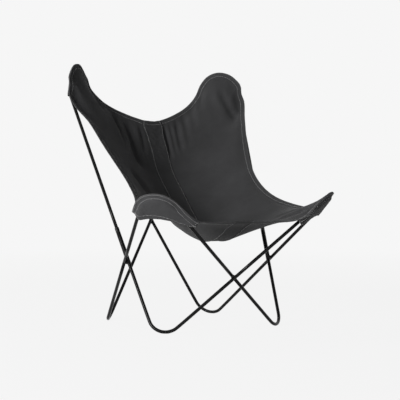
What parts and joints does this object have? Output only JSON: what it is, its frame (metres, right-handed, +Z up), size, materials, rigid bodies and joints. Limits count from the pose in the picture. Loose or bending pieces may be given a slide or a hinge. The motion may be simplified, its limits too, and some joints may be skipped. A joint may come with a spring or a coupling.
{
  "type": "butterfly sling chair",
  "caption": "Low lounge chair with a black canvas sling hung by corner pockets on a crossed frame of bent black steel rod.",
  "frame": {"origin": "on the floor under the middle of the chair's bounding box", "axes": "+Z up, -Y towards the front, where the sitter's knees are, and +X to the right when the chair is seen from the front"},
  "size_m": [0.7186, 0.7884, 0.9023],
  "materials": {
    "frame_black": "satin black powder coat on steel rod",
    "canvas_black": "black cotton duck canvas, lockstitched with grey thread"
  },
  "bodies": {
    "root": {"rear_horn_rod_left": "frame_black", "rear_horn_rod_right": "frame_black", "rear_leg_rod_left": "frame_black", "rear_leg_rod_right": "frame_black", "front_horn_rod_left": "frame_black", "front_horn_rod_right": "frame_black", "front_leg_rod_left": "frame_black", "front_leg_rod_right": "frame_black", "rod_sleeve_left": "frame_black", "rod_sleeve_right": "frame_black", "weld_front_crossing": "frame_black", "weld_side_crossing_left": "frame_black", "weld_side_crossing_right": "frame_black", "back_gusset_plate": "frame_black", "sling_panel_left": "canvas_black", "sling_panel_right": "canvas_black", "sling_middle_strip": "canvas_black", "rear_pocket_left": "canvas_black", "rear_pocket_right": "canvas_black", "front_pocket_left": "canvas_black", "front_pocket_right": "canvas_black"}
  },
  "joints": []
}
